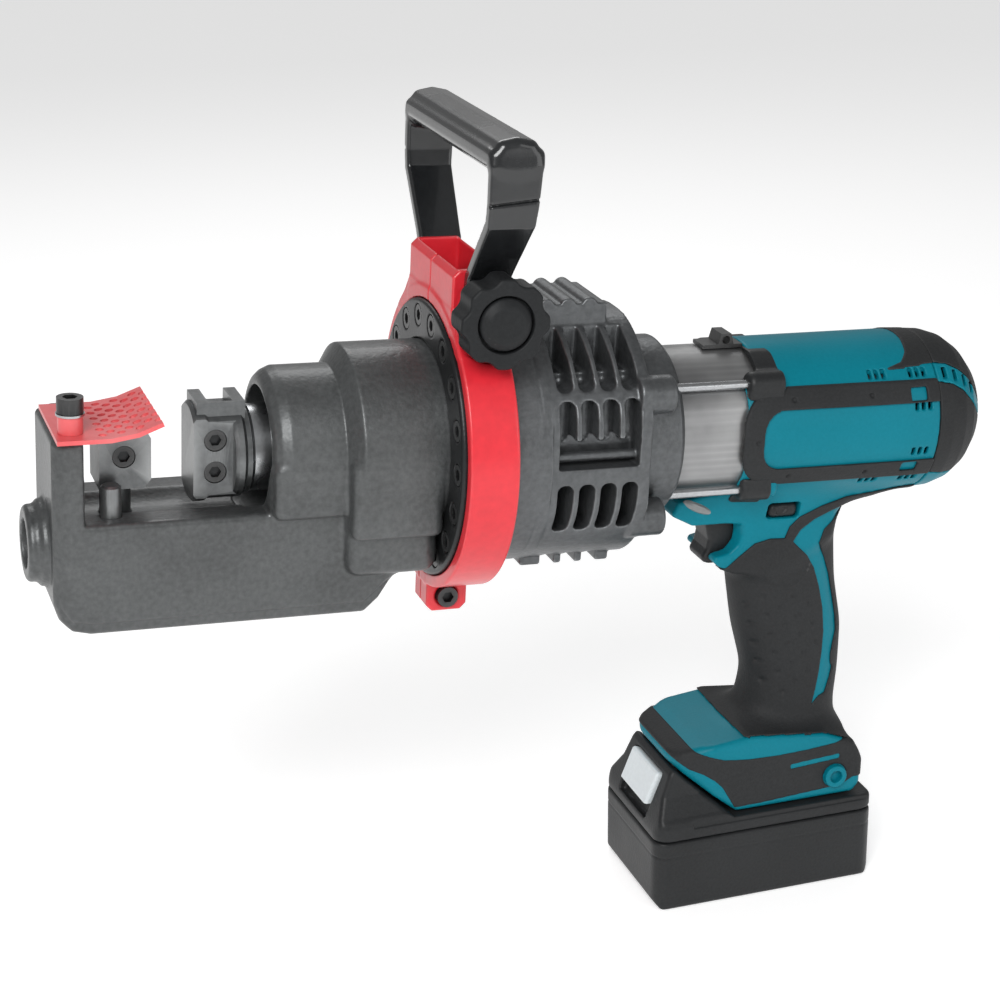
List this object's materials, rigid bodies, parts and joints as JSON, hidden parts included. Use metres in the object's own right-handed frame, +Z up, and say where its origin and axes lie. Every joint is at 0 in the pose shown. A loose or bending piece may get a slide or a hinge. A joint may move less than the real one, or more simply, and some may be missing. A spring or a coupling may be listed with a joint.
{
  "type": "rebar cutter",
  "caption": "Cordless electro-hydraulic rebar cutter: open-sided steel yoke with a ram-driven cutter, clamp ring with carry handle, finned pump, motor, pistol grip and slide battery.",
  "frame": {"origin": "middle of the rod gap between the two cutter blocks, on the ram axis", "axes": "+X rearwards along the ram axis towards the motor, +Y to the tool's right, +Z up"},
  "size_m": [0.471, 0.1442, 0.4008],
  "materials": {
    "cast_steel": "sand cast, painted grey metallic",
    "dark_steel": "black oxide",
    "tool_steel": "ground tool steel, oiled",
    "bright_steel": "ground",
    "seal_rubber": "moulded",
    "spring_steel": "drawn wire",
    "red_paint": "gloss powder coat",
    "gloss_black": "gloss black coat on aluminium",
    "knob_plastic": "moulded",
    "cast_aluminium": "die cast, shot blasted",
    "turned_aluminium": "turned",
    "gear_steel": "hobbed, oiled",
    "motor_steel": "plated",
    "black_plastic": "moulded",
    "teal_plastic": "moulded, satin",
    "grip_rubber": "soft overmould",
    "lens_glass": "smoked",
    "button_plastic": "moulded",
    "cell_steel": "sleeved cells, as heavy as aluminium",
    "brass_contact": "stamped"
  },
  "bodies": {
    "tool": {"cutter_yoke": "cast_steel", "front_plug": "dark_steel", "fixed_cutter": "tool_steel", "fixed_cutter_screw": "dark_steel", "cutter_post": "tool_steel", "guard_bolt": "dark_steel", "guard_washer": "bright_steel", "head_flange": "dark_steel", "flange_bolts": "dark_steel", "clamp_half_left": "red_paint", "clamp_half_right": "red_paint", "clamp_bolt": "dark_steel", "handle_bolt": "dark_steel", "pump_body": "cast_aluminium", "pump_screws": "dark_steel", "bearing_housing": "cast_aluminium", "gear_case": "turned_aluminium", "tie_rods": "bright_steel", "lug_plate": "dark_steel", "shaft_bearings": "bright_steel", "oil_bladder": "seal_rubber", "ring_gear": "gear_steel", "motor_can": "motor_steel", "housing_left": "teal_plastic", "housing_right": "teal_plastic", "grip_overmould": "grip_rubber", "side_strap_left": "grip_rubber", "side_strap_right": "grip_rubber", "rear_cap": "grip_rubber", "housing_screw": "dark_steel", "switch_unit": "black_plastic", "lamp_lens": "lens_glass"},
    "ram_body": {"ram": "bright_steel", "ram_seal": "seal_rubber", "moving_cutter": "tool_steel", "moving_cutter_screws": "dark_steel", "return_spring": "spring_steel"},
    "guard": {"rod_guard": "red_paint", "guard_collar": "red_paint"},
    "handle": {"carry_handle": "gloss_black"},
    "knob": {"handle_knob": "knob_plastic", "knob_cap": "knob_plastic"},
    "plunger": {"pump_plunger": "bright_steel"},
    "rotor_body": {"rotor": "motor_steel", "fan": "black_plastic", "sun_gear": "gear_steel"},
    "carrier": {"planet_carrier": "gear_steel", "eccentric_shaft": "bright_steel"},
    "planet_1": {"planet_gear_1": "gear_steel"},
    "planet_2": {"planet_gear_2": "gear_steel"},
    "planet_3": {"planet_gear_3": "gear_steel"},
    "trigger_body": {"trigger": "black_plastic", "trigger_spring": "spring_steel"},
    "release": {"release_switch": "black_plastic"},
    "battery": {"battery_case": "black_plastic", "battery_top": "black_plastic", "battery_cells": "cell_steel", "battery_terminals": "brass_contact"},
    "button": {"battery_button": "button_plastic"}
  },
  "joints": [
    {"name": "ram_slide", "type": "slide", "parent": "tool", "child": "ram_body", "axis": [-1, 0, 0], "range_m": [-0.009, 0.018], "stiffness_N_per_m": 2000, "springref_m": -0.009, "deforming": ["return_spring"]},
    {"name": "guard_swing", "type": "hinge", "parent": "tool", "child": "guard", "pos_m": [-0.0466, -0.023, 0.018], "axis": [0, 0, 1], "range_deg": [-90, 0]},
    {"name": "handle_tilt", "type": "hinge", "parent": "tool", "child": "handle", "pos_m": [0.1367, 0, 0.0705], "axis": [0, 1, 0], "range_deg": [-45, 45]},
    {"name": "knob_turn", "type": "hinge", "parent": "tool", "child": "knob", "pos_m": [0.1367, -0.056, 0.0705], "axis": [0, -1, 0], "range_deg": [0, 270]},
    {"name": "plunger_slide", "type": "slide", "parent": "tool", "child": "plunger", "axis": [0, 0, -1], "range_m": [0, 0.0057]},
    {"name": "rotor_spin", "type": "hinge", "parent": "tool", "child": "rotor_body", "pos_m": [0.3214, 0, 0], "axis": [1, 0, 0], "continuous": true},
    {"name": "carrier_spin", "type": "hinge", "parent": "tool", "child": "carrier", "pos_m": [0.2454, 0, 0], "axis": [1, 0, 0], "continuous": true},
    {"name": "planet_1_spin", "type": "hinge", "parent": "carrier", "child": "planet_1", "pos_m": [0.2574, 0.0165, 0], "axis": [1, 0, 0], "continuous": true},
    {"name": "planet_2_spin", "type": "hinge", "parent": "carrier", "child": "planet_2", "pos_m": [0.2574, -0.00825, 0.01429], "axis": [1, 0, 0], "continuous": true},
    {"name": "planet_3_spin", "type": "hinge", "parent": "carrier", "child": "planet_3", "pos_m": [0.2574, -0.00825, -0.01429], "axis": [1, 0, 0], "continuous": true},
    {"name": "trigger_pull", "type": "slide", "parent": "tool", "child": "trigger_body", "axis": [1, 0, 0], "range_m": [0, 0.006], "stiffness_N_per_m": 900, "springref_m": -0.004, "deforming": ["trigger_spring"]},
    {"name": "release_push", "type": "slide", "parent": "tool", "child": "release", "axis": [0, 1, 0], "range_m": [-0.003, 0.003]},
    {"name": "battery_slide", "type": "slide", "parent": "tool", "child": "battery", "axis": [-0.9983, 0, -0.0576], "range_m": [0, 0.09]},
    {"name": "button_press", "type": "slide", "parent": "battery", "child": "button", "axis": [-0.3253, 0, -0.9456], "range_m": [0, 0.003], "stiffness_N_per_m": 1500, "springref_m": -0.002}
  ],
  "couplings": [
    {"joint": "carrier_spin", "follows": "rotor_spin", "ratio": 0.18182},
    {"joint": "planet_1_spin", "follows": "rotor_spin", "ratio": -0.46753},
    {"joint": "planet_2_spin", "follows": "rotor_spin", "ratio": -0.46753},
    {"joint": "planet_3_spin", "follows": "rotor_spin", "ratio": -0.46753}
  ]
}
